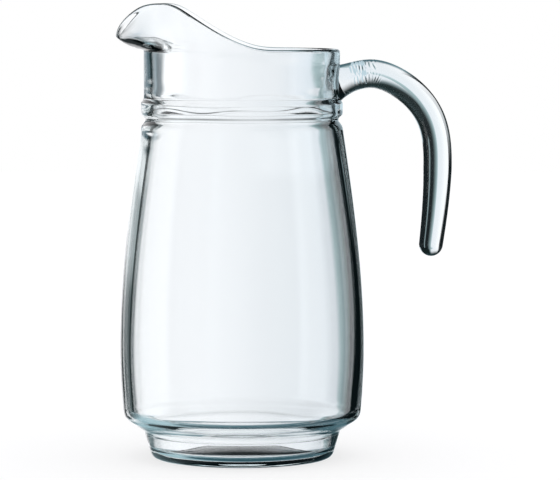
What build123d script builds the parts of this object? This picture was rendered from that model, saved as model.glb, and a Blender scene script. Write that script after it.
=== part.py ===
from build123d import *
from math import cos, pi, sin, sqrt
import os

# A glass jug for water or juice, in millimetres.
# The origin is the centre of the face it stands on, on the axis of the round body.
# +Z is up, the handle is on +X and the spout on -X.

# Foot: a short ring that widens upwards, with a shallow recess underneath
foot_radius = 51.6
waist_radius = 56.2
foot_height = 15.6
foot_edge_round = 3.4
recess_radius = 43.0
recess_depth = 2.2
recess_slope = 3.0
waist_round = 1.6

# Body: heel, belly and shoulder
heel_radius = 67.5
heel_rise = 7.6
heel_slope = 0.08
heel_round = 10.0
belly_radius = 69.4
belly_rise = 38.0
shoulder_radius = 57.1
shoulder_rise = 127.2
shoulder_slope = 0.15

# Groove and bead under the collar, the band that carries the handle
groove_radius = 54.7
shoulder_to_groove = 3.8
groove_to_bead = 3.0
bead_radius = 57.2
bead_height = 8.0
bead_to_collar = 1.8
bead_round = 0.9
collar_radius = 55.6
collar_height = 26.9

# Glass thickness
body_wall = 4.8
collar_wall = 4.4
foot_wall = 6.4
hood_wall = 3.2
floor_thickness = 7.4
floor_corner_round = 6.0
inner_heel_round = 9.0

# Spout: the rim rises to a peak on each side and falls to a tip in front
spout_rise = 26.2
peak_from_axis = 45.5
rise_starts_past_axis = 20.0
tip_rise = 8.2
spout_reach = 71.4
spout_narrowness = 10
lip_thickness = 3.6
tip_thickness = 1.2
tip_lean = 0.1

# The rim line bends at a share of its run, where it has gained or lost a share of the rise
rise_bend = (0.61, 0.55)
fall_bend = (0.75, 0.40)
# Half way up, the lip and the trough behind it have gained these shares of their rise and reach
lip_middle = (0.45, 0.66)
trough_middle = (0.3, 0.6)

# Ice guard: a ledge across the foot of the spout that reaches into the jug
guard_reach = 8.4
guard_thickness = 3.8
guard_roundness = 0.42

# Handle: a solid rod bent to a hook, fused to the collar and free at its lower end
handle_width = 19.0
handle_thickness = 16.2
root_width = 24.0
root_height = 18.4
root_above_collar_edge = 0.6
handle_reach = 56.0
handle_arch = 3.4
handle_drop = 100.3
tip_width = 15.0
handle_tip_thickness = 12.6
tip_length = 7.0
root_length = 26.0
taper_start = 0.55
free_end_lean = 0.13

# The line of the hook passes through a crest, a bend and a side, then ends at the free end
# Distance in from the outermost point, as a share of the reach
crest_in = 0.67
bend_in = 0.44
side_in = 0.08
free_end_in = 0.09
# Height against the root, as a share of the arch or of the drop
bend_fall = 0.2
side_fall = 0.21
outermost_fall = 0.5

# Heights that follow from the stack of the body
waist_z = foot_height
heel_z = waist_z + heel_rise
belly_z = heel_z + belly_rise
shoulder_z = belly_z + shoulder_rise
groove_z = shoulder_z + shoulder_to_groove
bead_low_z = groove_z + groove_to_bead
bead_top_z = bead_low_z + bead_height
collar_z = bead_top_z + bead_to_collar
rim_z = collar_z + collar_height

# The plan of the rim is drawn through this many points
OUTLINE_POINTS = 24
# Room by which cutting shapes run past what they cut
CLEAR = 8.0
# Two heights or radii nearer than this are the same
TINY = 0.01


def rim_plan(radius, reach):
    """Closed plan of the rim: a circle drawn out to a rounded beak on -X."""
    points = []
    for step in range(OUTLINE_POINTS):
        angle = 2 * pi * step / OUTLINE_POINTS
        pull = (0.5 - 0.5 * cos(angle)) ** spout_narrowness
        length = radius + reach * pull
        points.append((length * cos(angle), length * sin(angle)))
    return points


def at_height(height):
    """Choose the edges whose middle lies at a height."""
    return lambda edge: abs(edge.center().Z - height) < TINY


os.makedirs("parts", exist_ok=True)

# Heights and radii of the spout
peak_z = rim_z + spout_rise
tip_z = rim_z + tip_rise
rise_bend_x = rise_starts_past_axis - rise_bend[0] * (rise_starts_past_axis + peak_from_axis)
rise_bend_z = rim_z + rise_bend[1] * spout_rise
fall_bend_x = -peak_from_axis - fall_bend[0] * (spout_reach - peak_from_axis)
fall_bend_z = peak_z - fall_bend[1] * (spout_rise - tip_rise)
lip_middle_z = rim_z + lip_middle[0] * tip_rise
lip_reach = spout_reach - collar_radius
trough_z = rim_z + lip_thickness
trough_middle_z = trough_z + trough_middle[0] * (tip_z - trough_z)
inner_collar_radius = collar_radius - collar_wall
inner_hood_radius = collar_radius - hood_wall
inner_reach = spout_reach - tip_thickness - inner_hood_radius

# Outside of the vessel, turned about the axis
with BuildPart() as outside:
    with BuildSketch(Plane.XZ):
        with BuildLine():
            Polyline(
                (0, rim_z),
                (0, recess_depth),
                (recess_radius - recess_slope, recess_depth),
                (recess_radius, 0),
                (foot_radius, 0),
                (waist_radius, waist_z),
                (heel_radius, heel_z),
            )
            Spline(
                (heel_radius, heel_z),
                (belly_radius, belly_z),
                tangents=((heel_slope, 1), (0, 1)),
            )
            Spline(
                (belly_radius, belly_z),
                (shoulder_radius, shoulder_z),
                tangents=((0, 1), (-shoulder_slope, 1)),
            )
            ThreePointArc(
                (shoulder_radius, shoulder_z),
                (groove_radius, groove_z),
                (bead_radius, bead_low_z),
            )
            Polyline(
                (bead_radius, bead_low_z),
                (bead_radius, bead_top_z),
                (collar_radius, collar_z),
                (collar_radius, rim_z),
                (0, rim_z),
            )
        make_face()
    revolve(axis=Axis.Z)
    on_foot = outside.edges().filter_by(at_height(0))
    fillet([edge for edge in on_foot if edge.radius > recess_radius + TINY], foot_edge_round)
    fillet(outside.edges().filter_by(at_height(waist_z)), waist_round)
    fillet(outside.edges().filter_by(at_height(heel_z)), heel_round)
    fillet(outside.edges().filter_by(at_height(bead_top_z)), bead_round)

    # The lip flares from the circle of the rim to the beak, and the hood stands on it
    with BuildSketch(Plane.XY.offset(rim_z)):
        Circle(collar_radius)
    with BuildSketch(Plane.XY.offset(lip_middle_z)):
        with BuildLine():
            Spline(*rim_plan(collar_radius, lip_middle[1] * lip_reach), periodic=True)
        make_face()
    with BuildSketch(Plane.XY.offset(tip_z)):
        with BuildLine():
            Spline(*rim_plan(collar_radius, lip_reach), periodic=True)
        make_face()
    loft()
    with BuildSketch(Plane.XY.offset(tip_z)):
        with BuildLine():
            Spline(*rim_plan(collar_radius, lip_reach), periodic=True)
        make_face()
    extrude(amount=peak_z - tip_z + CLEAR)

# The space inside, up to the rim and on through the spout
with BuildPart() as inside:
    with BuildSketch(Plane.XZ):
        with BuildLine():
            Polyline(
                (0, trough_z),
                (0, floor_thickness),
                (waist_radius - foot_wall, floor_thickness),
                (waist_radius - foot_wall, waist_z + 0.5 * foot_wall),
                (heel_radius - body_wall, heel_z + 0.5 * body_wall),
            )
            Spline(
                (heel_radius - body_wall, heel_z + 0.5 * body_wall),
                (belly_radius - body_wall, belly_z),
                tangents=((heel_slope, 1), (0, 1)),
            )
            Spline(
                (belly_radius - body_wall, belly_z),
                (groove_radius - collar_wall, groove_z),
                tangents=((0, 1), (-shoulder_slope, 1)),
            )
            Polyline(
                (groove_radius - collar_wall, groove_z),
                (inner_collar_radius, bead_low_z),
                (inner_collar_radius, trough_z),
                (0, trough_z),
            )
        make_face()
    revolve(axis=Axis.Z)
    fillet(inside.edges().filter_by(at_height(floor_thickness)), floor_corner_round)
    fillet(inside.edges().filter_by(at_height(heel_z + 0.5 * body_wall)), inner_heel_round)
    with BuildSketch(Plane.XY.offset(trough_z)):
        Circle(inner_collar_radius)
    with BuildSketch(Plane.XY.offset(trough_middle_z)):
        with BuildLine():
            Spline(*rim_plan(inner_collar_radius, trough_middle[1] * inner_reach), periodic=True)
        make_face()
    with BuildSketch(Plane.XY.offset(tip_z)):
        with BuildLine():
            Spline(*rim_plan(inner_hood_radius, inner_reach), periodic=True)
        make_face()
    loft()
    with BuildSketch(Plane.XY.offset(tip_z)):
        with BuildLine():
            Spline(*rim_plan(inner_hood_radius, inner_reach), periodic=True)
        make_face()
    extrude(amount=peak_z - tip_z + 2 * CLEAR)

# The ledge of the ice guard, cut to the round of the wall it grows from
with BuildPart() as ice_guard:
    with BuildSketch(Plane.XY.offset(trough_z - guard_thickness)):
        Circle(inner_collar_radius + 0.5 * collar_wall)
    extrude(amount=guard_thickness)
    guard_edge_x = guard_reach - inner_collar_radius
    split(bisect_by=Plane.YZ.offset(guard_edge_x), keep=Keep.BOTTOM)
    inner_edges = ice_guard.edges().filter_by(Axis.Y)
    fillet(inner_edges, guard_roundness * guard_thickness)

with BuildPart() as jug_body:
    add(outside.part)
    add(inside.part, mode=Mode.SUBTRACT)
    add(ice_guard.part)
    # The rim line, seen from the side: level at the back, up to the peak and down to the tip
    with BuildSketch(Plane.XZ):
        with BuildLine():
            Polyline(
                (-spout_reach - CLEAR, tip_z),
                (-spout_reach - CLEAR, peak_z + 2 * CLEAR),
                (collar_radius + CLEAR, peak_z + 2 * CLEAR),
                (collar_radius + CLEAR, rim_z),
                (rise_starts_past_axis, rim_z),
            )
            Spline(
                (rise_starts_past_axis, rim_z),
                (rise_bend_x, rise_bend_z),
                (-peak_from_axis, peak_z),
                tangents=((-1, 0), (-1, 0)),
            )
            Spline(
                (-peak_from_axis, peak_z),
                (fall_bend_x, fall_bend_z),
                (-spout_reach, tip_z),
                tangents=((-1, 0), (-tip_lean, -1)),
            )
            Line((-spout_reach, tip_z), (-spout_reach - CLEAR, tip_z))
        make_face()
    extrude(amount=spout_reach + CLEAR, both=True, mode=Mode.SUBTRACT)
jug_body.part.label = "jug_body"
export_step(jug_body.part, "parts/jug_body.step")

# Handle: ellipses set square to the line of the hook, from the collar to the free end
root_z = collar_z + root_above_collar_edge + 0.5 * root_height
hook_x = collar_radius + handle_reach
hook = Spline(
    (collar_radius - collar_wall, 0, root_z),
    (hook_x - crest_in * handle_reach, 0, root_z + handle_arch),
    (hook_x - bend_in * handle_reach, 0, root_z - bend_fall * handle_arch),
    (hook_x - side_in * handle_reach, 0, root_z - side_fall * handle_drop),
    (hook_x, 0, root_z - outermost_fall * handle_drop),
    (hook_x - free_end_in * handle_reach, 0, root_z - handle_drop),
    tangents=((1, 0, 0), (-free_end_lean, 0, -1)),
)
rod_length = hook.length
tip_share = tip_length / rod_length
root_share = root_length / rod_length
# Places of the sections along the hook: even along the rod, then closer over the rounded tip
ROD_STEPS = 9
TIP_STEPS = (0.0, 0.5, 0.8, 0.95, 0.995)
places = [step / ROD_STEPS * (1 - tip_share) for step in range(ROD_STEPS)]
places += [1 - tip_share + tip_share * step for step in TIP_STEPS]
with BuildPart() as handle:
    for place in places:
        flare = max(0, 1 - place / root_share) ** 2
        taper = max(0, (place - taper_start) / (1 - taper_start))
        close_up = sqrt(1 - max(0, (place - 1 + tip_share) / tip_share) ** 2)
        width = handle_width + flare * (root_width - handle_width) - taper * (handle_width - tip_width)
        depth = (
            handle_thickness
            + flare * (root_height - handle_thickness)
            - taper * (handle_thickness - handle_tip_thickness)
        )
        with BuildSketch(Plane(origin=hook @ place, x_dir=(0, 1, 0), z_dir=hook % place)):
            Ellipse(0.5 * width * close_up, 0.5 * depth * close_up)
    loft()
    add(outside.part, mode=Mode.SUBTRACT)
handle.part.label = "handle"
export_step(handle.part, "parts/handle.step")

for piece in (jug_body, handle):
    box = piece.part.bounding_box()
    print(piece.part.label, round(piece.part.volume), box.min, box.max)
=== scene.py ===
# %% [markdown]
# A clear glass jug, from its foot to its spout
# This lesson builds a pouring jug of clear glass and the studio that shows it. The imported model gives
# the frame: metres, +Z up, the handle on +X and the spout on -X. Glass shows every bump of its
# surface, because it bends whatever stands behind it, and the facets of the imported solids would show
# as breaks. So both pieces are meshed again here as fine, even grids that stand for those solids.

# %% Load the frame
import math

import bmesh
import bpy
import numpy as np
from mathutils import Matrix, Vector


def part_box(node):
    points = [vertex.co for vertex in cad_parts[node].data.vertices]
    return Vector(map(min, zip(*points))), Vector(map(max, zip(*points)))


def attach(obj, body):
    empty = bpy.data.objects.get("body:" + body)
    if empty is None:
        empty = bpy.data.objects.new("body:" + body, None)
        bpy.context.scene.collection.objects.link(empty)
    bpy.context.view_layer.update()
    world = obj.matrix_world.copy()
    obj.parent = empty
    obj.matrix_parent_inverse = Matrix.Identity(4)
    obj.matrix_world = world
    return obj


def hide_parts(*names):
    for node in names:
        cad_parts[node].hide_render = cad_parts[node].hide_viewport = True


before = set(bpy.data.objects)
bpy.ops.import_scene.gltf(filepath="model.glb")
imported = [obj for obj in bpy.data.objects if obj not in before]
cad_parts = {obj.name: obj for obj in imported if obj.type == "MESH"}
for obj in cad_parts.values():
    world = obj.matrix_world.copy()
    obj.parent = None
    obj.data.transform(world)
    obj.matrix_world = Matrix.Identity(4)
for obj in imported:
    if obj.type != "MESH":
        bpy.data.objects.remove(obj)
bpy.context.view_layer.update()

MM = 0.001
jug_low, jug_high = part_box("jug_body")
print("jug stands", round((jug_high.z - jug_low.z) / MM, 1), "mm high")

# %% [markdown]
# The camera
# The photograph was taken from about two metres with a long lens, a little above the rim: the rim
# looks like a thin line, while the foot shows a clear ellipse. A camera that far away keeps the
# upright lines of the jug parallel. A camera could also be placed by eye, but here its aim and its
# lens are worked out from two places in the picture and from the real size of one pixel.

# %% Place the camera
IMAGE_WIDTH = 560
IMAGE_HEIGHT = 480
MM_PER_PIXEL = 0.569
# The column of the jug's axis and the row of the face it stands on, in pixels
AXIS_PIXEL = 242.0
FOOT_PIXEL = 457.3
SENSOR_WIDTH = 36
CAMERA_DISTANCE = 1820 * MM
CAMERA_HEIGHT = 260.5 * MM
CLIP_END = 20
aim_x = (IMAGE_WIDTH / 2 - AXIS_PIXEL) * MM_PER_PIXEL * MM
aim_z = (FOOT_PIXEL - IMAGE_HEIGHT / 2) * MM_PER_PIXEL * MM

scene = bpy.context.scene
camera_data = bpy.data.cameras.new("camera")
camera_data.sensor_width = SENSOR_WIDTH
camera = bpy.data.objects.new("camera", camera_data)
scene.collection.objects.link(camera)
camera.location = (aim_x, -CAMERA_DISTANCE, CAMERA_HEIGHT)
to_aim = Vector((aim_x, 0, aim_z)) - camera.location
camera.rotation_mode = "QUATERNION"
camera.rotation_quaternion = to_aim.to_track_quat("-Z", "Y")
frame_width = IMAGE_WIDTH * MM_PER_PIXEL * MM
camera_data.lens = SENSOR_WIDTH * to_aim.length / frame_width
camera_data.clip_end = CLIP_END
scene.camera = camera
print("lens", round(camera_data.lens, 1), "mm")

# %% [markdown]
# Helpers for outlines
# The jug is a body of revolution up to its rim, so most of its shape is one outline. It could be
# traced point by point, but then no size could be read from it. Here round corners are arcs between
# straight runs, and the long sides are curves that pass through their ends in a given direction, as
# the drawn side of a mould does.

# %% Outline helpers
def between(start, end, start_slope, end_slope, t):
    """A place at a share t of the cubic curve that has these ends and these slopes at them."""
    return (
        (2 * t**3 - 3 * t**2 + 1) * start
        + (t**3 - 2 * t**2 + t) * start_slope
        + (-2 * t**3 + 3 * t**2) * end
        + (t**3 - t**2) * end_slope
    )


def curve(start, end, leave, arrive, steps):
    """Points of a curve between two points, with the direction that it leaves and arrives in."""
    start = np.array(start, float)
    end = np.array(end, float)
    chord = np.linalg.norm(end - start)
    leave = np.array(leave) / np.linalg.norm(leave) * chord
    arrive = np.array(arrive) / np.linalg.norm(arrive) * chord
    return [between(start, end, leave, arrive, step / steps) for step in range(steps + 1)]


def arc_corner(before, corner, after, radius, steps):
    """Points of the arc that rounds a corner of an outline."""
    corner = np.array(corner)
    to_before = (np.array(before) - corner) / np.linalg.norm(np.array(before) - corner)
    to_after = (np.array(after) - corner) / np.linalg.norm(np.array(after) - corner)
    half_angle = 0.5 * math.acos(np.clip(to_before @ to_after, -1, 1))
    setback = radius / math.tan(half_angle)
    middle = (to_before + to_after) / np.linalg.norm(to_before + to_after)
    centre = corner + middle * radius / math.sin(half_angle)
    first = corner + to_before * setback - centre
    last = corner + to_after * setback - centre
    sweep = math.acos(np.clip(first @ last / radius**2, -1, 1))
    points = []
    for step in range(steps + 1):
        share = step / steps
        from_first = math.sin((1 - share) * sweep) / math.sin(sweep)
        from_last = math.sin(share * sweep) / math.sin(sweep)
        points.append(centre + from_first * first + from_last * last)
    return points


def line_lengths(line):
    """Distance along a line at each of its points."""
    return np.r_[0, np.cumsum(np.linalg.norm(np.diff(line, axis=0), axis=1))]


def even(points, spacing):
    """The same line with points at an even spacing, so that the grid has even faces."""
    points = np.array(points)
    lengths = line_lengths(points)
    count = max(2, int(round(lengths[-1] / spacing)) + 1)
    places = np.linspace(0, lengths[-1], count)
    return np.array([np.interp(places, lengths, points[:, k]) for k in range(points.shape[1])]).T


def smooth_step(value, low, high):
    """Rises smoothly from 0 at low to 1 at high."""
    share = np.clip((value - low) / (high - low), 0, 1)
    return share * share * (3 - 2 * share)


print("a smooth step is", smooth_step(0.25, 0, 1), "high after a quarter of its way")

# %% [markdown]
# The outside of the vessel
# A machine-made jug is pressed and then blown into an iron mould. Its outside takes the crisp steps
# of the mould: foot, heel, shoulder, groove and bead. A Screw modifier could turn the outline too,
# but the rim isn't round, so the outline is kept as numbers that later steps can bend.

# %% Outside of the vessel, radius and height in millimetres
FOOT_EDGE = (51.6, 0)
WAIST = (56.2, 15.6)
HEEL = (67.5, 23.2)
HEEL_SLOPE = 0.08
BELLY = (69.4, 61.2)
SHOULDER = (57.1, 188.4)
SHOULDER_SLOPE = 0.15
GROOVE = (54.7, 192.2)
BEAD_LOW = (57.2, 195.2)
BEAD_TOP = (57.2, 201.6)
COLLAR = (55.6, 204.4)
COLLAR_RADIUS = COLLAR[0]
RIM_Z = 232.3
HOOD_START_Z = 229.0

side_low = curve(HEEL, BELLY, (HEEL_SLOPE, 1), (0, 1), steps=40)
side_high = curve(BELLY, SHOULDER, (0, 1), (-SHOULDER_SLOPE, 1), steps=60)
print("side outline has", len(side_low) + len(side_high), "points")

# %% Underside, pushed up in a low dome
RECESS_EDGE = (45.6, 0)
RECESS_DEPTH = 1.0
PUSH_UP = 7.4
DOME_RADIUS = 43.0
DOME_STEPS = 24


def dome(height):
    """Points of a low round dome from the axis out to its edge, above zero."""
    shares = [step / DOME_STEPS for step in range(DOME_STEPS + 1)]
    return [(DOME_RADIUS * share, height * (1 - share**3)) for share in shares]


outside = [(radius, RECESS_DEPTH + height) for radius, height in dome(PUSH_UP)]
print("underside rises", RECESS_DEPTH + PUSH_UP, "mm in the middle")

# %% Rounded corners from the recess up to the collar
RECESS_ROUND = 3.0
FOOT_ROUND = 3.4
WAIST_ROUND = 1.6
HEEL_ROUND = 6.4
SHOULDER_ROUND = 1.0
GROOVE_ROUND = 1.1
BEAD_LOW_ROUND = 0.8
BEAD_TOP_ROUND = 2.0
COLLAR_ROUND = 1.2
# The groove's sharp corner lies deeper, so that its rounding comes out near the groove's own radius
GROOVE_CORNER = (GROOVE[0] - 0.5, GROOVE[1])
# The shoulder is rounded towards a place a little below the groove
UNDER_GROOVE = (GROOVE[0], GROOVE[1] - 0.6)
# The heel is rounded towards this point of the side, counted from the heel up
HEEL_AIM = 12
# The side goes on at least this far above the rounding
SKIP = 1.0

outside += arc_corner(outside[-3], RECESS_EDGE, FOOT_EDGE, RECESS_ROUND, steps=8)
outside += arc_corner(RECESS_EDGE, FOOT_EDGE, WAIST, FOOT_ROUND, steps=10)
outside += arc_corner(FOOT_EDGE, WAIST, HEEL, WAIST_ROUND, steps=6)
outside += arc_corner(WAIST, HEEL, side_low[HEEL_AIM], HEEL_ROUND, steps=16)
outside += [point for point in side_low if point[1] > outside[-1][1] + SKIP]
outside += side_high[1:-1]
outside += arc_corner(side_high[-3], SHOULDER, UNDER_GROOVE, SHOULDER_ROUND, steps=7)
outside += arc_corner(SHOULDER, GROOVE_CORNER, BEAD_LOW, GROOVE_ROUND, steps=7)
outside += arc_corner(GROOVE, BEAD_LOW, BEAD_TOP, BEAD_LOW_ROUND, steps=6)
outside += arc_corner(BEAD_LOW, BEAD_TOP, COLLAR, BEAD_TOP_ROUND, steps=8)
outside += arc_corner(BEAD_TOP, COLLAR, (COLLAR_RADIUS, RIM_Z), COLLAR_ROUND, steps=8)
outside += [(COLLAR_RADIUS, HOOD_START_Z)]
outside_line = np.array([tuple(point) for point in outside])
print("outside outline has", len(outside_line), "points")

# %% [markdown]
# The inside of the vessel
# The inside was only touched by air, so it follows the outside in a softer way, and the wall is
# thicker wherever the outside steps out. A Solidify modifier would give one even wall, and the dark
# lines at the edges of the glass would come out too thin. So the inside has an outline of its own.

# %% Inside of the vessel
BODY_WALL = 5.6
COLLAR_WALL = 4.4
FOOT_WALL = 6.4
FLOOR_Z = 3.8
FLOOR_RISE = 8.8
INNER_COLLAR_RADIUS = COLLAR_RADIUS - COLLAR_WALL
FLOOR_EDGE = (WAIST[0] - FOOT_WALL, FLOOR_Z)
INNER_WAIST = (FLOOR_EDGE[0] + 1.5, WAIST[1] + 3.2)
INNER_HEEL = (HEEL[0] - BODY_WALL, HEEL[1] + 2.6)
INNER_BELLY = (BELLY[0] - BODY_WALL, BELLY[1])
INNER_SHOULDER = (SHOULDER[0] - BODY_WALL, SHOULDER[1] - 3)
THROAT = (GROOVE[0] - COLLAR_WALL, GROOVE[1])
INNER_COLLAR = (INNER_COLLAR_RADIUS, 197.5)

inner_low = curve(INNER_HEEL, INNER_BELLY, (HEEL_SLOPE, 1), (0, 1), steps=40)
inner_high = curve(INNER_BELLY, INNER_SHOULDER, (0, 1), (-SHOULDER_SLOPE, 1), steps=60)
print("wall", BODY_WALL, "mm in the belly and", COLLAR_WALL, "mm in the collar")

# %% Rounded corners from the floor up to the collar
FLOOR_ROUND = 5.0
INNER_WAIST_ROUND = 4.0
INNER_HEEL_ROUND = 4.5
THROAT_ROUND = 4.0
INNER_COLLAR_ROUND = 5.0
# The inner heel is rounded towards this point of the inner side, counted from the heel up
INNER_HEEL_AIM = 14
INNER_TOP = (INNER_COLLAR_RADIUS, HOOD_START_Z)

inside = [(radius, FLOOR_Z + height) for radius, height in dome(FLOOR_RISE)]
inside += arc_corner((DOME_RADIUS, FLOOR_Z), FLOOR_EDGE, INNER_WAIST, FLOOR_ROUND, steps=14)
inside += arc_corner(FLOOR_EDGE, INNER_WAIST, INNER_HEEL, INNER_WAIST_ROUND, steps=8)
inside += arc_corner(INNER_WAIST, INNER_HEEL, inner_low[INNER_HEEL_AIM], INNER_HEEL_ROUND, steps=14)
inside += [point for point in inner_low if point[1] > inside[-1][1] + SKIP]
inside += inner_high[1:-1]
inside += arc_corner(inner_high[-4], INNER_SHOULDER, THROAT, THROAT_ROUND, steps=6)
inside += arc_corner(INNER_SHOULDER, THROAT, INNER_COLLAR, THROAT_ROUND, steps=6)
inside += arc_corner(THROAT, INNER_COLLAR, INNER_TOP, INNER_COLLAR_ROUND, steps=6)
inside += [INNER_TOP]
inside_line = np.array([tuple(point) for point in inside])
print("inside outline has", len(inside_line), "points")

# %% [markdown]
# The hood and the spout
# After blowing, the front half of the rim is heated again and drawn up and out over a form. Its
# edge climbs from the level rim behind the axis to a peak on each side, then falls to the tip. The
# hood could be sculpted, but a formula keeps its wall even. Going round the jug, each upright line
# of the mesh is worked out from how near it is to the front.

# %% The rim line and the plan of the hood
PEAK_X = -46.0
PEAK_Z = 258.0
TIP_X = -71.3
TIP_Z = 240.0
# The edge of the rim seen from the side: place along X, height, and slope
RIM_LINE = (
    (24.0, RIM_Z, 0.0),
    (6.0, 234.0, -0.27),
    (-11.0, 240.9, -0.53),
    (-27.0, 250.5, -0.64),
    (-37.0, 256.4, -0.44),
    (PEAK_X, PEAK_Z, 0.0),
    (-54.5, 257.0, 0.28),
    (-62.0, 252.9, 0.78),
    (-67.6, 247.4, 1.25),
    (TIP_X, TIP_Z, 3.5),
)
SPOUT_NARROWNESS = 10
COLUMNS = 360


def rim_height(x):
    """Height of the rim's edge at a place along X, between the points of the rim line."""
    if x >= RIM_LINE[0][0]:
        return RIM_Z
    for (x0, z0, slope0), (x1, z1, slope1) in zip(RIM_LINE, RIM_LINE[1:]):
        if x >= x1:
            break
    run = x1 - x0
    share = min(1.0, (x - x0) / run)
    return between(z0, z1, slope0 * run, slope1 * run, share)


angles = np.arange(COLUMNS) * 2 * np.pi / COLUMNS
# 1 at the front of the jug and -1 at the back
frontness = -np.cos(angles)
# How far the spout draws the rim out: 1 at its tip, almost 0 from the sides on
pull = (0.5 + 0.5 * frontness) ** SPOUT_NARROWNESS
edge_radius = COLLAR_RADIUS + (-TIP_X - COLLAR_RADIUS) * pull
edge_height = np.array([rim_height(r * math.cos(a)) for r, a in zip(edge_radius, angles)])
print("rim line from", round(edge_height.min(), 1), "to", round(edge_height.max(), 1), "mm")

# %% Helpers for the rows of the hood
# Heights between the collar and the lip are squeezed where the rim is low
squeeze = np.clip((edge_height - HOOD_START_Z) / (TIP_Z - HOOD_START_Z), 0, 1)


def level(height):
    """A height in the hood, brought down with the rim where the rim is low."""
    return HOOD_START_Z + (height - HOOD_START_Z) * squeeze


def all_round(value):
    """The same value all the way round the jug."""
    return np.full(COLUMNS, value)


print("a height of", TIP_Z, "mm comes down to", round(level(TIP_Z).min(), 1), "mm at the level rim")

# %% Outside of the hood, from the collar up to the lip
HOOD_WALL = 3.0
TIP_WALL = 1.3
LIP_STEPS = 22
LIP_CURVE = 1.35
LIP_START_Z = RIM_Z - 0.6
FIRST_STEPS = 4
# The wall thins to the hood's between these values of frontness, and to the tip's between these pulls
THINS_TO_HOOD = (-0.4, 0.6)
THINS_TO_TIP = (0.4, 1.0)

to_hood = smooth_step(frontness, *THINS_TO_HOOD)
to_tip = smooth_step(pull, *THINS_TO_TIP)
hood_wall = HOOD_WALL + (TIP_WALL - HOOD_WALL) * to_tip
wall_at_edge = (1 - to_hood) * COLLAR_WALL + to_hood * hood_wall
half_wall = 0.5 * wall_at_edge
inner_edge = edge_radius - wall_at_edge
edge_foot = edge_height - half_wall

hood_rows = []
lip_start = level(LIP_START_Z)
for step in range(1, FIRST_STEPS + 1):
    height = HOOD_START_Z + (lip_start - HOOD_START_Z) * step / FIRST_STEPS
    hood_rows.append((all_round(COLLAR_RADIUS), height))
for step in range(1, LIP_STEPS + 1):
    share = step / LIP_STEPS
    out = 1 - (1 - share) ** LIP_CURVE
    up = share**LIP_CURVE
    radius = COLLAR_RADIUS + (edge_radius - COLLAR_RADIUS) * out
    hood_rows.append((radius, lip_start + (edge_foot - lip_start) * up))
print("wall at the edge from", round(wall_at_edge.min(), 1), "to", round(wall_at_edge.max(), 1), "mm")

# %% Fire-polished edge, a little squarer than a half circle
EDGE_STEPS = 12
EDGE_SQUARENESS = 2.2
for step in range(1, EDGE_STEPS):
    turn = math.pi * step / EDGE_STEPS
    side = math.cos(turn)
    up = math.sin(turn)
    stretch = (abs(side) ** EDGE_SQUARENESS + up**EDGE_SQUARENESS) ** (-1 / EDGE_SQUARENESS)
    radius = 0.5 * (edge_radius + inner_edge) + half_wall * side * stretch
    hood_rows.append((radius, edge_foot + half_wall * up * stretch))
print("hood has", len(hood_rows), "rows up to the top of its edge")

# %% [markdown]
# The ice guard
# Under the spout the glass runs almost level to the tip, and inside it ends in a thick ledge that
# holds back the ice. It could be a separate bar, but on the real jug it is the same glass, pinched
# in while hot. So the rows that come down inside the spout turn round a rounded nose, and the ledge
# fades out softly where it meets the round wall.

# %% Ledge of the ice guard, from its reach at each column
GUARD_REACH = 8.4
GUARD_LOW_Z = 231.2
GUARD_TOP_Z = 234.6
SIDE_LOW_Z = 230.4
SIDE_TOP_Z = 231.6
GUARD_CHORD_X = INNER_COLLAR_RADIUS - GUARD_REACH
SOFTNESS = 1.2
THINNEST = 0.02
# The ledge ends on a straight chord across the front, which columns nearer the sides don't meet
LEAST_FRONTNESS = 0.1
NO_CHORD = 1000.0
# The ledge grows out of the round wall between these pulls of the spout
LEDGE_GROWS = (0.05, 0.9)

chord = GUARD_CHORD_X / np.maximum(frontness, LEAST_FRONTNESS)
chord[frontness <= LEAST_FRONTNESS] = NO_CHORD
# The nearer of the chord and the round wall, with a soft change from one to the other
soft_sum = np.exp(-chord / SOFTNESS) + np.exp(-INNER_COLLAR_RADIUS / SOFTNESS)
guard_depth = np.maximum(0, INNER_COLLAR_RADIUS + SOFTNESS * np.log(soft_sum))
guard_depth[guard_depth < THINNEST] = 0
ledge = smooth_step(pull, *LEDGE_GROWS)
guard_top = level(SIDE_TOP_Z + (GUARD_TOP_Z - SIDE_TOP_Z) * ledge)
guard_low = level(SIDE_LOW_Z + (GUARD_LOW_Z - SIDE_LOW_Z) * ledge)
print("ice guard reaches", round(guard_depth.max(), 1), "mm into the jug")

# %% Inside of the hood, round the nose of the ledge and down the collar
TROUGH_STEPS = 26
TROUGH_CURL = 0.9
TROUGH_SHARE = 0.45
GUARD_STEPS = 14
NOSE_SHAPE = 0.7
LAST_STEPS = 5

curl = 1 + TROUGH_CURL * ledge
trough_radius = INNER_COLLAR_RADIUS - guard_depth * TROUGH_SHARE
for step in range(TROUGH_STEPS):
    share = 1 - step / TROUGH_STEPS
    out = 1 - (1 - share) ** curl
    up = share**curl
    radius = trough_radius + (inner_edge - trough_radius) * out
    hood_rows.append((radius, guard_top + (edge_foot - guard_top) * up))
nose_middle = 0.5 * (guard_top + guard_low)
nose_half_height = 0.5 * (guard_top - guard_low)
for step in range(GUARD_STEPS + 1):
    share = step / GUARD_STEPS
    turn = math.pi * share
    reach = guard_depth * (1 - TROUGH_SHARE + TROUGH_SHARE * share) * math.sin(turn) ** NOSE_SHAPE
    radius = trough_radius + (INNER_COLLAR_RADIUS - trough_radius) * share - reach
    hood_rows.append((radius, nose_middle + nose_half_height * math.cos(turn)))
for step in range(LAST_STEPS - 1, 0, -1):
    height = HOOD_START_Z + (guard_low - HOOD_START_Z) * step / LAST_STEPS
    hood_rows.append((all_round(INNER_COLLAR_RADIUS), height))
print("hood has", len(hood_rows), "rows of", COLUMNS, "points")

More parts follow.
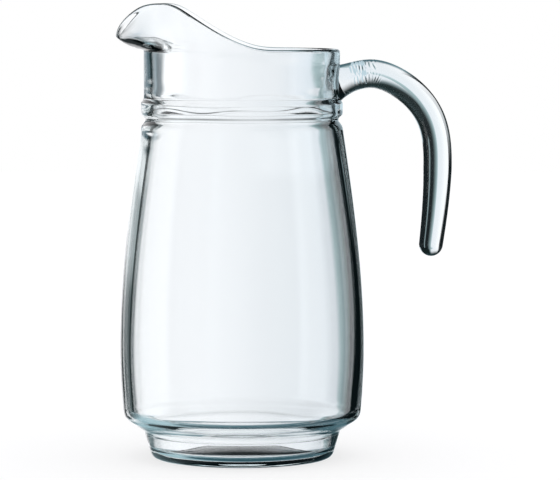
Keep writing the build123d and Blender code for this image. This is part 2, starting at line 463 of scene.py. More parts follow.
# %% [markdown]
# Join the rows into one closed skin
# The rows of the outside, the hood and the inside follow each other as one long line from the
# middle of the underside, over the rim, to the middle of the floor. Joining three meshes would leave
# seams that show in glass. A ring of points on each row keeps the skin whole, and every face
# between two rings is a quad.

# %% Rows of the outside, with an even block where the handle will meet the collar
ROW_SPACING = 1.6
SEAM_LOW_Z = 200.0
SEAM_HIGH_Z = 226.6
SEAM_CELLS = 48
PAST_SHOULDER_Z = SHOULDER[1] + 6


def even_steps(start, end, spacing):
    """Even places from start to end, near a wanted spacing, without the end."""
    count = max(1, int(round((end - start) / spacing)))
    return list(np.linspace(start, end, count + 1)[:-1])


outer_line = outside_line[1:]
outer_lengths = line_lengths(outer_line)
past_shoulder = outer_line[:, 1] > PAST_SHOULDER_Z
seam_start = np.interp(SEAM_LOW_Z, outer_line[past_shoulder, 1], outer_lengths[past_shoulder])
seam_end = np.interp(SEAM_HIGH_Z, outer_line[past_shoulder, 1], outer_lengths[past_shoulder])
outer_places = even_steps(0, seam_start, ROW_SPACING)
seam_first_row = len(outer_places)
outer_places += even_steps(seam_start, seam_end, (seam_end - seam_start) / SEAM_CELLS)
outer_places += [seam_end, outer_lengths[-1]]


def on_outside(length):
    """Radius and height of the outside at a distance along its outline."""
    radius = np.interp(length, outer_lengths, outer_line[:, 0])
    return radius, np.interp(length, outer_lengths, outer_line[:, 1])


body_rows = []
for place in outer_places:
    radius, height = on_outside(place)
    body_rows.append((all_round(radius), all_round(height)))
body_rows += hood_rows
print("outside and hood have", len(body_rows), "rows")

# %% [markdown]
# The uneven thickness of blown glass
# Air pushes hot glass a little further where it is hotter, so the inner wall is never quite even,
# and the lines seen through it wander. A bump texture would only shade the surface. Here the inner
# rows themselves move in and out by slow waves. Behind the handle, where the collar was pressed
# from outside, the waves are shorter.

# %% Waves of the inside
# Size of a slow wave in millimetres, its count round the jug, its turn in each mm of height, its start
SLOW_WAVES = (
    (0.10, 3, 0.008, 0.4),
    (0.07, 5, -0.015, 1.9),
    (0.04, 8, 0.024, 4.1),
    (0.08, 2, 0.03, 2.6),
)
# The slow waves grow between these heights
WAVES_GROW = (14, 40)
# Dents behind the handle: where they lie, how deep they are, and the count, turn and start of each wave
PRESS_TURN = math.radians(34)
PRESS_Z = 214
PRESS_HALF_HEIGHT = 16
PRESS_DEPTH = 0.22
DENTS_ONE_WAY = (9, 0.42)
DENTS_OTHER_WAY = (6.5, -0.55, 1.0)
# Ripple of the neck, given in the same way
NECK_Z = 197
NECK_HALF_HEIGHT = 12
NECK_DEPTH = 0.10
NECK_ONE_WAY = (7, 0.5)
NECK_OTHER_WAY = (4, -0.7)


def wave(shape, turn, distance, count, rise, start=0):
    """A wave with a count round a ring, which turns as it goes along."""
    return shape(count * turn + rise * distance + start)


def thickness_waves(height):
    """How far the inner wall moves out at each column, at one height."""
    slow = 0
    for size, count, rise, start in SLOW_WAVES:
        slow = slow + size * wave(np.cos, angles, height, count, rise, start)
    around = (angles + np.pi) % (2 * np.pi) - np.pi
    near_root = np.exp(-((around / PRESS_TURN) ** 4))
    near_root = near_root * math.exp(-(((height - PRESS_Z) / PRESS_HALF_HEIGHT) ** 4))
    one_way = wave(np.sin, around, height, *DENTS_ONE_WAY)
    dents = one_way * wave(np.cos, around, height, *DENTS_OTHER_WAY)
    in_neck = math.exp(-(((height - NECK_Z) / NECK_HALF_HEIGHT) ** 2))
    one_way = wave(np.sin, around, height, *NECK_ONE_WAY)
    neck_ripple = one_way + wave(np.cos, around, height, *NECK_OTHER_WAY)
    return (
        smooth_step(height, *WAVES_GROW) * slow
        + PRESS_DEPTH * near_root * dents
        + NECK_DEPTH * in_neck * neck_ripple
    )


print("in the belly the wall varies by", round(np.ptp(thickness_waves(BELLY[1])), 2), "mm")

# %% Rows of the inside, moved by the waves
# The waves fade out over this length below the hood
WAVES_FADE = 6
for radius, height in even(inside_line[1:], ROW_SPACING)[::-1]:
    fade = smooth_step(HOOD_START_Z - height, 0, WAVES_FADE)
    body_rows.append((radius + thickness_waves(height) * fade, all_round(height)))
print("body has", len(body_rows), "rows")

# %% [markdown]
# The seam of the handle
# The handle is hot when it is pressed on the collar, so the two become one piece of glass. A union
# of two meshes would tear up the even grid. Instead the grid of the collar is bent round the foot of
# the handle, so that one of its rings is also the first ring of the handle. Inside that ring the two
# skins touch, and light goes straight through.

# %% Bend the grid round the foot of the handle
SEAM_HALF_TURN = 10.4
SEAM_HALF_LENGTH = 0.76
# The shared ring lies this share of the way out from the middle of the bent square
RING_SHARE = 0.5
half_cells = SEAM_CELLS // 2
ring_cells = int(RING_SHARE * half_cells)
column_turn = math.degrees(angles[1])
seam_middle = 0.5 * (seam_start + seam_end)
seam_half = 0.5 * (seam_end - seam_start)


def round_place(across, along):
    """Where a point of the square grid goes, so that the middle of the square becomes an ellipse."""
    reach = max(abs(across), abs(along))
    if reach == 0:
        return 0.0, 0.0
    if abs(across) >= abs(along):
        turn = math.pi / 4 * along / across + (math.pi if across < 0 else 0)
    else:
        turn = math.pi / 2 - math.pi / 4 * across / along + (math.pi if along < 0 else 0)
    ellipse_across = SEAM_HALF_TURN / (half_cells * column_turn) * math.cos(turn)
    ellipse_along = SEAM_HALF_LENGTH * math.sin(turn)
    if reach <= RING_SHARE:
        return ellipse_across * reach / RING_SHARE, ellipse_along * reach / RING_SHARE
    straight = (reach - RING_SHARE) / (1 - RING_SHARE)
    share = 0.5 * (smooth_step(straight, 0, 1) + straight)
    return (
        ellipse_across + share * (across / reach - ellipse_across),
        ellipse_along + share * (along / reach - ellipse_along),
    )


seam_points = {}
for i in range(-half_cells, half_cells + 1):
    for j in range(-half_cells, half_cells + 1):
        across, along = round_place(i / half_cells, j / half_cells)
        turn = math.radians(across * half_cells * column_turn)
        radius, height = on_outside(seam_middle + along * seam_half)
        seam_points[i, j] = (radius * math.cos(turn), radius * math.sin(turn), height)
print("bent grid has", len(seam_points), "points")

# %% Ring that the collar and the handle share, from the +Y side upwards
seam_ring = [(ring_cells, j) for j in range(0, ring_cells)]
seam_ring += [(i, ring_cells) for i in range(ring_cells, -ring_cells, -1)]
seam_ring += [(-ring_cells, j) for j in range(ring_cells, -ring_cells, -1)]
seam_ring += [(i, -ring_cells) for i in range(-ring_cells, ring_cells)]
seam_ring += [(ring_cells, j) for j in range(-ring_cells, 0)]
contact = np.array([seam_points[key] for key in seam_ring])
print("seam ring of", len(contact), "points, up to", round(contact[:, 2].max(), 1), "mm")

# %% [markdown]
# Glass
# Soda-lime glass bends light with an index of about 1.52. Blown glass is smooth but not flat, so
# its reflections are sharp and wander slowly. A thin wall has hardly any colour, but light that runs
# a long way inside it comes out a little blue-green from the iron in the sand. A tinted surface
# would colour thin and thick glass alike, so the colour is an absorption inside the glass.

# %% Material helpers
def srgb(code):
    """Linear colour of an sRGB hex code."""
    linear = []
    for start in (1, 3, 5):
        value = int(code[start : start + 2], 16) / 255
        linear.append(value / 12.92 if value <= 0.04045 else ((value + 0.055) / 1.055) ** 2.4)
    return (*linear, 1.0)


def add_node(tree, kind, settings=None, links=None, **inputs):
    """Add a node, set its attributes and input values, and link other nodes' outputs into it."""
    node = tree.nodes.new(kind)
    for name, value in (settings or {}).items():
        setattr(node, name, value)
    for name, value in inputs.items():
        node.inputs[name.replace("_", " ")].default_value = value
    for name, source in (links or {}).items():
        tree.links.new(source, node.inputs[name])
    return node


def new_material(name):
    """A material with an empty node tree."""
    material = bpy.data.materials.new(name)
    material.use_nodes = True
    material.node_tree.nodes.clear()
    return material, material.node_tree


print("middle grey in linear light is", round(srgb("#808080")[0], 3))

# %% Blown and pressed soda-lime glass
GLASS_IOR = 1.52
GLASS_TINT = "#B4D4D8"
TINT_DENSITY = 6.0
# Slow waves of the skin that a mould and the fire leave: sharp reflections that wander
WAVE_LENGTH = 45 * MM
WAVE_HEIGHT = 0.02 * MM
CLEAR = (1, 1, 1, 1)


def soda_lime_glass(name):
    """Clear glass with a slow waviness of its surface and a blue-green colour in its depth."""
    material, tree = new_material(name)
    place = add_node(tree, "ShaderNodeTexCoord")
    noise = add_node(
        tree, "ShaderNodeTexNoise", links={"Vector": place.outputs["Object"]},
        Scale=1 / WAVE_LENGTH, Detail=1.0, Roughness=0.4,
    )
    bump = add_node(
        tree, "ShaderNodeBump", links={"Height": noise.outputs["Fac"]},
        Strength=1.0, Distance=WAVE_HEIGHT,
    )
    surface = add_node(
        tree, "ShaderNodeBsdfPrincipled", links={"Normal": bump.outputs["Normal"]},
        IOR=GLASS_IOR, Roughness=0.0, Transmission_Weight=1.0, Base_Color=CLEAR,
    )
    depth = add_node(
        tree, "ShaderNodeVolumeAbsorption", Color=srgb(GLASS_TINT), Density=TINT_DENSITY,
    )
    add_node(
        tree, "ShaderNodeOutputMaterial",
        links={"Surface": surface.outputs["BSDF"], "Volume": depth.outputs["Volume"]},
    )
    return material


body_glass = soda_lime_glass("blown_soda_lime_glass")
handle_glass = soda_lime_glass("pressed_soda_lime_glass")
print("glasses:", body_glass.name, "and", handle_glass.name)

# %% Clear joint, where two pieces are one glass
# Nothing shows at a fused seam, so light goes through it unchanged
fused_seam, tree = new_material("fused_seam")
clear = add_node(tree, "ShaderNodeBsdfTransparent", Color=CLEAR)
add_node(tree, "ShaderNodeOutputMaterial", links={"Surface": clear.outputs[0]})
print("joint:", fused_seam.name)

# %% [markdown]
# The body
# The rings now become one mesh. It could start from a cylinder and be edited, but a grid that is
# written row by row keeps each point where the outlines put it. The block behind the handle is moved
# to its bent places, and its middle gets the clear joint in place of glass.

# %% Build the body
def ring_faces(bm, lower, upper):
    """Quads between two rings of points, in the order of the points."""
    count = len(lower)
    faces = []
    for k in range(count):
        after = (k + 1) % count
        faces.append(bm.faces.new((lower[k], lower[after], upper[after], upper[k])))
    return faces


def close_ring(bm, ring, middle):
    """A fan of triangles from a ring of points to its middle."""
    point = bm.verts.new(middle)
    for k in range(len(ring)):
        bm.faces.new((ring[k], ring[(k + 1) % len(ring)], point))


def glass_piece(bm, name, glass):
    """A smooth object from a closed skin, with its glass and the clear joint."""
    bmesh.ops.recalc_face_normals(bm, faces=bm.faces)
    for face in bm.faces:
        face.smooth = True
    mesh = bpy.data.meshes.new(name)
    bm.to_mesh(mesh)
    bm.free()
    piece = bpy.data.objects.new(name, mesh)
    scene.collection.objects.link(piece)
    mesh.materials.append(glass)
    mesh.materials.append(fused_seam)
    print(name, "has", len(mesh.vertices), "points")
    return piece


bm = bmesh.new()
grid = []
for radius, height in body_rows:
    xs = radius * np.cos(angles)
    ys = radius * np.sin(angles)
    grid.append([bm.verts.new((x * MM, y * MM, z * MM)) for x, y, z in zip(xs, ys, height)])
for (i, j), place in seam_points.items():
    grid[seam_first_row + half_cells + j][i % COLUMNS].co = Vector(place) * MM
for row, (lower, upper) in enumerate(zip(grid, grid[1:])):
    j = row - seam_first_row - half_cells
    for k, face in enumerate(ring_faces(bm, lower, upper)):
        i = k if k < COLUMNS // 2 else k - COLUMNS
        if -ring_cells <= i < ring_cells and -ring_cells <= j < ring_cells:
            face.material_index = 1
for ring in (grid[0], grid[-1]):
    close_ring(bm, ring, (0, 0, ring[0].co.z))
jug = glass_piece(bm, "blown_jug", body_glass)
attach(jug, "root")
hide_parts("jug_body")

# %% [markdown]
# The handle
# A gather of hot glass is pressed on the collar, drawn out, bent over and left to hang free. The rod
# is thick and solid, so it works as a strong lens. A curve with a bevel would give a rod too, but
# its section couldn't turn from the foot on the collar to a flat oval. So the rod is a row of rings
# along a smooth line through a few chosen points.

# %% The line of the hook
ROOT_Z = 214.8
HOOK_POINTS = (
    (51.2, ROOT_Z),
    (74.1, ROOT_Z + 3.4),
    (86.9, ROOT_Z - 0.7),
    (106.7, ROOT_Z - 21.1),
    (111.05, ROOT_Z - 50.2),
    (106.6, ROOT_Z - 100.2),
)
START_DIRECTION = (1, 0)
END_DIRECTION = (-0.13, -1)
STEPS_BETWEEN = 60


def spline_through(points, start, end):
    """A smooth curve through points, with even curvature, by solving for the slopes at the points."""
    points = np.array(points, float)
    runs = np.linalg.norm(np.diff(points, axis=0), axis=1)
    count = len(points)
    matrix = np.zeros((count, count))
    right = np.zeros((count, 2))
    matrix[0, 0] = 1
    matrix[-1, -1] = 1
    right[0] = np.array(start) / np.linalg.norm(start)
    right[-1] = np.array(end) / np.linalg.norm(end)
    for k in range(1, count - 1):
        before = runs[k - 1]
        after = runs[k]
        matrix[k, k - 1 : k + 2] = (after, 2 * (before + after), before)
        slope_before = (points[k] - points[k - 1]) / before
        slope_after = (points[k + 1] - points[k]) / after
        right[k] = 3 * (after * slope_before + before * slope_after)
    slopes = np.linalg.solve(matrix, right)
    line = []
    for k, run in enumerate(runs):
        for step in range(STEPS_BETWEEN):
            share = step / STEPS_BETWEEN
            ends = (points[k], points[k + 1], slopes[k] * run, slopes[k + 1] * run)
            line.append(between(*ends, share))
    line.append(points[-1])
    return np.array(line)


hook = spline_through(HOOK_POINTS, START_DIRECTION, END_DIRECTION)
hook_lengths = line_lengths(hook)
hook_length = hook_lengths[-1]
print("rod along its middle", round(hook_length, 1), "mm")

# %% Sections of the rod
ROD_WIDTH = 19.0
ROD_DEPTH = 16.2
TIP_WIDTH = 15.0
TIP_DEPTH = 13.2
TIP_LENGTH = 6.6
TAPER_START = 0.66
# The direction of the rod is taken between two places this far on either side
SLOPE_REACH = 0.3
turns = np.arange(len(contact)) * 2 * np.pi / len(contact)


def rod_section(along):
    """Half width and half depth of the rod at a distance along its middle line."""
    taper = max(0, (along / hook_length - TAPER_START) / (1 - TAPER_START))
    into_tip = max(0, (along - hook_length + TIP_LENGTH) / TIP_LENGTH)
    close_up = math.sqrt(max(0, 1 - into_tip**2))
    width = ROD_WIDTH - taper * (ROD_WIDTH - TIP_WIDTH)
    depth = ROD_DEPTH - taper * (ROD_DEPTH - TIP_DEPTH)
    return 0.5 * width * close_up, 0.5 * depth * close_up


def on_hook(along):
    """Place on the middle line of the rod, along X and in height."""
    x = np.interp(along, hook_lengths, hook[:, 0])
    return np.array((x, np.interp(along, hook_lengths, hook[:, 1])))


def rod_ring(along, swell=0.0):
    """Ring of points round the rod at a distance along it, moved out by swell."""
    x, z = on_hook(along)
    ahead = min(along + SLOPE_REACH, hook_length)
    behind = max(along - SLOPE_REACH, 0)
    step = on_hook(ahead) - on_hook(behind)
    dx, dz = step / math.hypot(*step)
    half_width, half_depth = rod_section(along)
    side = (half_width + swell) * np.cos(turns)
    up = (half_depth + swell) * np.sin(turns)
    return np.c_[x - dz * up, side, z + dx * up]


print("rod is", ROD_WIDTH, "by", ROD_DEPTH, "mm and", TIP_WIDTH, "by", TIP_DEPTH, "mm at its end")

# %% [markdown]
# Chill ripples
# Where the tool and the cooler collar chilled the skin of the rod first, it wrinkled in fine rings,
# which show as bright crescents. A bump texture could shade them, but the rod is a lens, and only a
# moved surface bends the light in the right places. So the rings of the mesh swell and shrink.

# %% Chill ripples near the root
RIPPLE_START = 10.0
RIPPLE_END = 30.0
RIPPLE_RISE = 3.0
RIPPLE_FALL = 6.0
RIPPLE_SPACING = 1.9
RIPPLE_HEIGHT = 0.24
RIPPLE_BOW = 1.6
# How far a wrinkle wanders along the rod, its count round the rod and its turn in each millimetre
RIPPLE_WANDER = 0.7
WANDER_WAVE = (3, 0.31)
# Where the two rows of a broad side meet and how wide each is, as the sine of the turn from level
ROWS_MEET = 0.1
ROW_WIDTH = 0.9
# How quickly the wrinkles die away from the middle of a broad side
SIDE_FADE = 0.8
# Share of their height that the wrinkles keep on average, and how far it swings
HEIGHT_SHARE = 0.55
HEIGHT_SWING = 0.45
# The swing turns in each millimetre, twists by so much, so many times round, and has a start
SWING_TURN = 0.9
SWING_TWIST = 2.2
SWING_COUNT = 4
SWING_START = 1.1


def ripple(along):
    """Height of the ripples round the rod: short, uneven wrinkles in two rows on each broad side."""
    side_on = np.cos(turns) ** 2
    wander = RIPPLE_WANDER * wave(np.sin, turns, along, *WANDER_WAVE)
    place = along - RIPPLE_BOW * side_on + wander
    start = smooth_step(along, RIPPLE_START, RIPPLE_START + RIPPLE_RISE)
    end = 1 - smooth_step(along, RIPPLE_END - RIPPLE_FALL, RIPPLE_END)
    rows = np.sin(np.pi * (np.sin(turns) - ROWS_MEET) / ROW_WIDTH) ** 2
    twist = SWING_TWIST * np.sin(SWING_COUNT * turns)
    uneven = HEIGHT_SHARE + HEIGHT_SWING * np.sin(SWING_TURN * along + twist + SWING_START)
    height = RIPPLE_HEIGHT * start * end * side_on**SIDE_FADE * rows * uneven
    return height * np.sin(2 * np.pi * place / RIPPLE_SPACING)


print("ripples are", round(max(ripple(0.5 * (RIPPLE_START + RIPPLE_END))), 2), "mm high half way")

# %% Rings of the handle, from the collar to the tip
START_ALONG = 4.4
FLARE_LENGTH = 13.0
FINE_STEP = 0.25
COARSE_STEP = 0.8
TIP_STEPS = 14

stations = list(np.arange(START_ALONG + FINE_STEP, RIPPLE_END, FINE_STEP))
stations += even_steps(stations[-1] + 0.5 * COARSE_STEP, hook_length - TIP_LENGTH, COARSE_STEP)
for k in range(TIP_STEPS):
    stations.append(hook_length - TIP_LENGTH * (1 - math.sin(0.5 * math.pi * k / TIP_STEPS)))
# The first rings are pulled to the ring on the collar, which gives the root its flare
offset = contact - rod_ring(START_ALONG)
rings = [contact]
for along in stations:
    share = max(0, 1 - (along - START_ALONG) / FLARE_LENGTH) ** 3
    rings.append(rod_ring(along, ripple(along)) + share * offset)
print("handle has", len(rings), "rings of", len(turns), "points")

# %% Build the handle
SEAM_GAP = 0.03
bm = bmesh.new()
loops = [[bm.verts.new(Vector(point) * MM) for point in ring] for ring in rings]
for lower, upper in zip(loops, loops[1:]):
    ring_faces(bm, lower, upper)
close_ring(bm, loops[-1], Vector((hook[-1, 0], 0, hook[-1, 1])) * MM)
# The end that touches the collar repeats the grid of the collar inside the shared ring
cap = dict(zip(seam_ring, loops[0]))
for i in range(-ring_cells + 1, ring_cells):
    for j in range(-ring_cells + 1, ring_cells):
        x, y, z = seam_points[i, j]
        cap[i, j] = bm.verts.new(Vector((x + SEAM_GAP, y, z)) * MM)
for i in range(-ring_cells, ring_cells):
    for j in range(-ring_cells, ring_cells):
        face = bm.faces.new((cap[i, j], cap[i, j + 1], cap[i + 1, j + 1], cap[i + 1, j]))
        face.material_index = 1
# Shading doesn't run from the glass of the rod on to the clear joint
for edge in bm.edges:
    if len({face.material_index for face in edge.link_faces}) > 1:
        edge.smooth = False
handle = glass_piece(bm, "drawn_handle", handle_glass)
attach(handle, "root")
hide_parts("handle")

# %% [markdown]
# The studio
# Clear glass is photographed against a lit panel that is only a little wider than the glass, with
# dark on both sides. Where the glass is flat to the camera it shows the panel, and where it turns
# away it shows the dark, which draws its edges. Lamps alone would leave it invisible. The panel and
# the dark room are only seen through and in the glass: the picture's own background is plain white.

# %% White surroundings
LIGHT_AROUND = 1.0
world = bpy.data.worlds.new("studio")
scene.world = world
world.use_nodes = True
tree = world.node_tree
tree.nodes.clear()
light = add_node(tree, "ShaderNodeBackground", Strength=LIGHT_AROUND)
light.inputs["Color"].default_value = (1, 1, 1, 1)
add_node(tree, "ShaderNodeOutputWorld", links={"Surface": light.outputs[0]})
print("light around", LIGHT_AROUND)

# %% White paper under the jug
# Matt paper takes the soft shadow, and a glow that the camera sees lifts it to plain white
FLOOR_HALF = 3.0
FLOOR_DROP = 0.2 * MM
PAPER_COLOUR = "#98989A"
PAPER_LIGHT = 0.72
floor_mesh = bpy.data.meshes.new("floor")
floor_corners = []
for x, y in ((-1, -1), (1, -1), (1, 1), (-1, 1)):
    floor_corners.append((x * FLOOR_HALF, y * FLOOR_HALF, 0))
floor_mesh.from_pydata(floor_corners, [], [(0, 1, 2, 3)])
floor = bpy.data.objects.new("floor", floor_mesh)
scene.collection.objects.link(floor)
floor.location.z = -FLOOR_DROP
floor_material, tree = new_material("white_paper")
paper = add_node(tree, "ShaderNodeBsdfDiffuse", Color=srgb(PAPER_COLOUR))
ray = add_node(tree, "ShaderNodeLightPath")
seen = add_node(
    tree, "ShaderNodeMath", {"operation": "MAXIMUM"},
    {0: ray.outputs["Is Camera Ray"], 1: ray.outputs["Is Transmission Ray"]},
)
lift = add_node(tree, "ShaderNodeMath", {"operation": "MULTIPLY"}, {0: seen.outputs[0]})
lift.inputs[1].default_value = PAPER_LIGHT
glow = add_node(tree, "ShaderNodeEmission", links={"Strength": lift.outputs[0]})
lit_paper = add_node(tree, "ShaderNodeAddShader", links={0: paper.outputs[0], 1: glow.outputs[0]})
add_node(tree, "ShaderNodeOutputMaterial", links={"Surface": lit_paper.outputs[0]})
floor_mesh.materials.append(floor_material)
floor.visible_transmission = False
floor.visible_glossy = False
print("paper is", 2 * FLOOR_HALF, "m wide")

# %% [markdown]
# The tent
# A photographer hangs cloth and card round the glass and moves them until every line of the jug is
# drawn. One round tent with painted bands does the work of all of them, and it turns with the camera,
# so that the jug looks right from every side. The bands differ by height, because the foot, the body
# and the collar bend the light by different amounts.

# %% Tent that turns with the camera
RIG_HEIGHT = 0.12
TENT_RADIUS = 0.46
rig = bpy.data.objects.new("card_stand", None)
scene.collection.objects.link(rig)
rig.location = (0, 0, RIG_HEIGHT)
follow = rig.constraints.new("TRACK_TO")
follow.target = camera
follow.track_axis = "TRACK_NEGATIVE_Y"
follow.up_axis = "UP_Z"

tent_mesh = bpy.data.meshes.new("tent")
bm = bmesh.new()
bmesh.ops.create_uvsphere(bm, u_segments=128, v_segments=64, radius=TENT_RADIUS)
for face in bm.faces:
    face.smooth = True
bm.to_mesh(tent_mesh)
bm.free()
tent = bpy.data.objects.new("tent", tent_mesh)
scene.collection.objects.link(tent)
tent.parent = rig


def only_in_glass(piece, material):
    """Keep a lit piece of the studio out of the picture itself, its shadows and its soft light."""
    piece.visible_camera = False
    piece.visible_diffuse = False
    piece.visible_shadow = False
    material.cycles.emission_sampling = "NONE"
    piece.data.materials.append(material)


print("tent is", 2 * TENT_RADIUS, "m across")

# %% Colours round the tent, by degrees from the middle of the back, positive to the right
DARK = "#182424"
BLACK = "#0C1416"
ROOM = "#70767A"
# From the front round by the left, then the bright window behind the jug, then round by the right
FRONT = (
    (-180, ROOM), (-112, ROOM), (-106, "#F4F8FA"), (-70, "#F4F8FA"), (-64, DARK),
)
WINDOW = (
    (-26.5, "#FCFDFF"), (-5, "#F8FAFD"), (5, "#E8ECF0"), (15.5, "#E2E8EE"), (16.3, "#B4C8CC"),
)
RIGHT = (
    (19, "#8A9EA2"), (23, "#5C6C6E"), (27, BLACK), (35, BLACK), (36, "#7C8E92"),
    (38, "#7C8E92"), (39, BLACK), (84, BLACK), (90, "#58686C"), (116, "#58686C"),
    (120, "#8E9698"), (150, "#8E9698"), (156, ROOM), (180, ROOM),
)


def round_body(left_strip):
    """Band round the body, with the colour of the strip on the left of the window."""
    return FRONT + ((-45, DARK), (-44, left_strip), (-27.5, left_strip)) + WINDOW + RIGHT


ROUND_LOW = round_body("#5C6668")
ROUND_MIDDLE = round_body("#A4AEB0")
ROUND_HIGH = round_body("#E4EAEC")
ROUND_COLLAR = FRONT + (
    (-42, DARK), (-40, "#3C545C"), (-33, "#5C7078"), (-27, "#A0B0B8"), (-24, "#A0B0B8"),
    (-22, "#54626A"), (-16, "#54626A"), (-15, "#FCFDFF"), (-5, "#F8FAFD"), (5, "#E8ECF0"),
    (11, "#DCE4EC"), (13.5, "#A9BFC2"), (19, "#8A9EA2"), (23, "#5C6C6E"), (27, BLACK),
    (57, BLACK), (63, "#B4C8D0"), (68, "#D4E4EC"), (72, "#8CA0AC"), (84, "#C4D4DC"),
    (116, "#78888C"), (120, "#D4DADC"), (150, "#D4DADC"), (180, ROOM),
)
ROUND_HOOD = (
    (-180, ROOM), (-112, ROOM), (-106, "#F4F8FA"), (-15, "#FCFDFF"), (5, "#E8ECF0"),
    (16, "#E2E8EE"), (20, "#7C8C90"), (24, "#141E1E"), (57, "#141E1E"), (63, "#B4C8D0"),
    (84, "#C4D4DC"), (90, "#A8B8BC"), (180, ROOM),
)
ROUND_GROUND = (
    (-180, ROOM), (-112, "#869AA2"), (-64, "#A2BEC6"), (-20, "#90AEB6"), (0, "#54747E"),
    (30, "#48666F"), (60, "#304A54"), (180, ROOM),
)
GROUND_COLOUR = "#2A4E58"
print("window of the tent is", WINDOW[-2][0] - WINDOW[0][0], "degrees wide")

# %% Paint the tent
TENT_LIGHT = 1.17
RAMP_MIDDLE = 0.5
# Heights from the middle of the tent, in metres, over which each band turns into the next
GROUND_TO_EDGE = (-0.41, -0.36)
EDGE_TO_LOW = (-0.24, -0.15)
LOW_TO_MIDDLE = (-0.03, 0.02)
MIDDLE_TO_HIGH = (0.06, 0.08)
HIGH_TO_COLLAR = (0.09, 0.105)
COLLAR_TO_HOOD = (0.132, 0.142)
HOOD_TO_CEILING = (0.17, 0.32)

tent_material, tree = new_material("studio_tent")
place = add_node(tree, "ShaderNodeTexCoord")
parts = add_node(tree, "ShaderNodeSeparateXYZ", links={0: place.outputs["Object"]})
around = add_node(
    tree, "ShaderNodeMath", {"operation": "ARCTAN2"},
    {0: parts.outputs["X"], 1: parts.outputs["Y"]},
)
turn_share = add_node(
    tree, "ShaderNodeMapRange", links={"Value": around.outputs[0]},
    From_Min=-math.pi, From_Max=math.pi,
)


def painted_band(stops_by_angle):
    """Colour round the tent, between given angles."""
    ramp = add_node(tree, "ShaderNodeValToRGB", links={"Fac": turn_share.outputs[0]})
    stops = ramp.color_ramp.elements
    while len(stops) < len(stops_by_angle):
        stops.new(RAMP_MIDDLE)
    for stop, (angle, _) in zip(stops, stops_by_angle):
        stop.position = (angle + 180) / 360
    for stop, (_, colour) in zip(stops, stops_by_angle):
        stop.color = srgb(colour)
    return ramp.outputs["Color"]


def blend(low_colour, high_colour, heights):
    """Change from one colour to another between two heights on the tent."""
    low, high = heights
    rise = add_node(
        tree, "ShaderNodeMapRange", {"interpolation_type": "SMOOTHSTEP"},
        {"Value": parts.outputs["Z"]}, From_Min=low, From_Max=high,
    )
    mix = add_node(tree, "ShaderNodeMix", {"data_type": "RGBA"}, {"Factor": rise.outputs[0]})
    tree.links.new(low_colour, mix.inputs[6])
    tree.links.new(high_colour, mix.inputs[7])
    return mix.outputs[2]


ceiling = add_node(tree, "ShaderNodeRGB")
ceiling.outputs[0].default_value = srgb(DARK)
ground = add_node(tree, "ShaderNodeRGB")
ground.outputs[0].default_value = srgb(GROUND_COLOUR)
painted = blend(painted_band(ROUND_LOW), painted_band(ROUND_MIDDLE), LOW_TO_MIDDLE)
painted = blend(painted, painted_band(ROUND_HIGH), MIDDLE_TO_HIGH)
painted = blend(painted, painted_band(ROUND_COLLAR), HIGH_TO_COLLAR)
painted = blend(painted, painted_band(ROUND_HOOD), COLLAR_TO_HOOD)
painted = blend(painted, ceiling.outputs[0], HOOD_TO_CEILING)
painted = blend(painted_band(ROUND_GROUND), painted, EDGE_TO_LOW)
painted = blend(ground.outputs[0], painted, GROUND_TO_EDGE)
glow = add_node(tree, "ShaderNodeEmission", links={"Color": painted}, Strength=TENT_LIGHT)
add_node(tree, "ShaderNodeOutputMaterial", links={"Surface": glow.outputs[0]})
only_in_glass(tent, tent_material)
print("tent is painted with", len(tree.nodes), "nodes")

# %% [markdown]
# Small cards beside the handle
# The handle is a thick lens, so its outer edge shows what stands on its left, next to the body. The
# tent is too far away to reach that place, so thin black cards stand there and draw the dark line of
# the outer edge. A pale card that is only seen from the jug lights the thick glass of the collar
# behind the handle. All cards fade out at their top and their near edge, so that no edge shows.

# %% Cards between the body and the handle
CARD_BLACK = "#0A1214"
CARD_PALE = "#C8DEE8"


def gone_towards(tree, distance, solid, gone):
    """0 where a card is solid and 1 where it is gone, between two distances in millimetres."""
    thin_out = add_node(
        tree, "ShaderNodeMapRange", {"interpolation_type": "SMOOTHSTEP"},
        {"Value": distance}, From_Min=solid * MM, From_Max=gone * MM,
    )
    return thin_out.outputs[0]


def gone_by_either(tree, first, second):
    """The greater of two shares by which a card is gone."""
    more = add_node(tree, "ShaderNodeMath", {"operation": "MAXIMUM"}, {0: first, 1: second})
    return more.outputs[0]


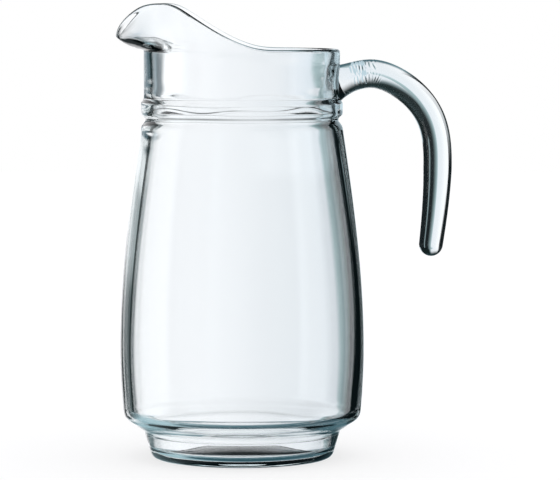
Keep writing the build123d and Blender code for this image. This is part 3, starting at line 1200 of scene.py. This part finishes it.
def card(name, x, depths, heights, fades, side, colour):
    """A thin card, edge-on to the camera, that shows to its right, its left or both sides."""
    near, far = depths
    low, high = heights
    fade_height, fade_depth = fades
    mesh = bpy.data.meshes.new(name)
    corners = []
    for y, z in ((near, low), (far, low), (far, high), (near, high)):
        corners.append((x * MM, y * MM, z * MM))
    mesh.from_pydata(corners, [], [(0, 1, 2, 3)])
    piece = bpy.data.objects.new(name, mesh)
    scene.collection.objects.link(piece)
    piece.parent = rig
    material, tree = new_material(name)
    on_card = add_node(tree, "ShaderNodeTexCoord").outputs["Object"]
    distances = add_node(tree, "ShaderNodeSeparateXYZ", links={0: on_card}).outputs
    gone_above = gone_towards(tree, distances["Z"], high - fade_height, high)
    gone_near = gone_towards(tree, distances["Y"], near + fade_depth, near)
    gone = gone_by_either(tree, gone_above, gone_near)
    from_left = add_node(tree, "ShaderNodeNewGeometry").outputs["Backfacing"]
    if side == "right":
        gone = gone_by_either(tree, gone, from_left)
    if side == "left":
        from_right = add_node(tree, "ShaderNodeMath", {"operation": "SUBTRACT"}, {1: from_left})
        from_right.inputs[0].default_value = 1.0
        gone = gone_by_either(tree, gone, from_right.outputs[0])
    glow = add_node(tree, "ShaderNodeEmission", Color=srgb(colour))
    clear = add_node(tree, "ShaderNodeBsdfTransparent", Color=CLEAR)
    mixed = add_node(
        tree, "ShaderNodeMixShader", links={0: gone, 1: glow.outputs[0], 2: clear.outputs[0]},
    )
    add_node(tree, "ShaderNodeOutputMaterial", links={"Surface": mixed.outputs[0]})
    only_in_glass(piece, material)
    print(name, "stands", x, "mm right of the axis")


# Places in millimetres from the middle of the tent; no two cards stand in the same plane
card("low_card", 82, (-75, 62), (-118, 55), (60, 1), "both", CARD_BLACK)
card("front_card", 83, (-12, 28), (-20, 86), (14, 10), "right", CARD_BLACK)
card("high_card", 84, (18, 50), (0, 76), (30, 10), "right", CARD_BLACK)
card("collar_card", 71, (4, 95), (70, 134), (12, 8), "left", CARD_PALE)

# %% [markdown]
# Sizes and the finish
# The finish
# written beside theirs, where both can be compared, and the picture keeps plain colours.

# %% Keep plain colours
print("sizes written")

scene.view_settings.view_transform = "Standard"
